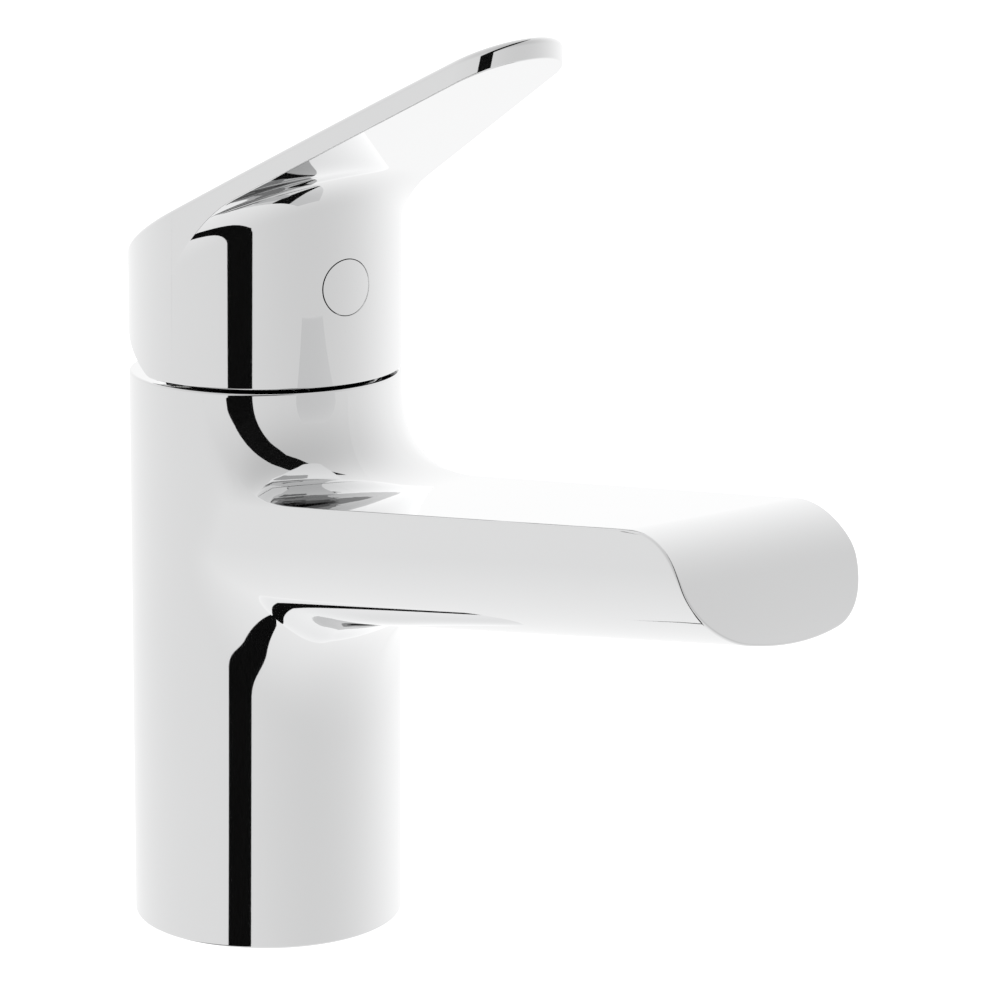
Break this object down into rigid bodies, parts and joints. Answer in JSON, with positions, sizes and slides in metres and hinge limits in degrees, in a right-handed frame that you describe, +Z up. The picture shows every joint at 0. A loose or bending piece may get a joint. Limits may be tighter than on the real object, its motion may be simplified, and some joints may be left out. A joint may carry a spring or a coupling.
{
  "type": "basin mixer tap",
  "caption": "Single-lever basin mixer tap: a round cast body with a rising spout, a lever handle over a ceramic-disc cartridge, and a recessed aerator.",
  "frame": {"origin": "centre of the body's round base, on the basin's deck", "axes": "+Z up along the body's axis, the spout points to -Y, X runs across the spout"},
  "size_m": [0.046, 0.1531, 0.1571],
  "materials": {
    "chrome": "polished chrome plate",
    "brass": "turned",
    "white_plastic": "moulded",
    "grey_plastic": "moulded",
    "rubber": "moulded rubber",
    "ceramic": "lapped ceramic",
    "steel": "turned stainless steel"
  },
  "bodies": {
    "tap_body": {"body": "chrome", "base_seal": "rubber", "port_seals": "rubber", "cartridge_base": "white_plastic", "cartridge_housing": "white_plastic", "disc_seals": "rubber", "fixed_disc": "ceramic", "clamp_nut": "brass", "bonnet": "chrome", "bonnet_oring": "rubber", "aerator_shell": "chrome", "aerator_seal": "rubber", "flow_straightener": "grey_plastic", "jet_disc": "white_plastic", "flow_limiter": "grey_plastic", "aerator_screen": "steel"},
    "swivel": {"rotor": "white_plastic", "pivot_pin": "steel"},
    "lever": {"handle": "chrome", "stem": "steel", "stem_sleeve": "white_plastic", "grub_screw": "steel", "screw_cap": "chrome"},
    "slide": {"disc_carrier": "grey_plastic", "moving_disc": "ceramic"}
  },
  "joints": [
    {"name": "lever_swivel", "type": "hinge", "parent": "tap_body", "child": "swivel", "pos_m": [0, 0, 0.1], "axis": [0, 0, 1], "range_deg": [-50, 50]},
    {"name": "lever_lift", "type": "hinge", "parent": "swivel", "child": "lever", "pos_m": [0, 0, 0.1], "axis": [-1, 0, 0], "range_deg": [0, 25]},
    {"name": "disc_slide", "type": "slide", "parent": "swivel", "child": "slide", "axis": [0, -1, 0], "range_m": [0, 0.00784]}
  ],
  "couplings": [
    {"joint": "disc_slide", "follows": "lever_lift", "m_per_rad": 0.017957}
  ]
}
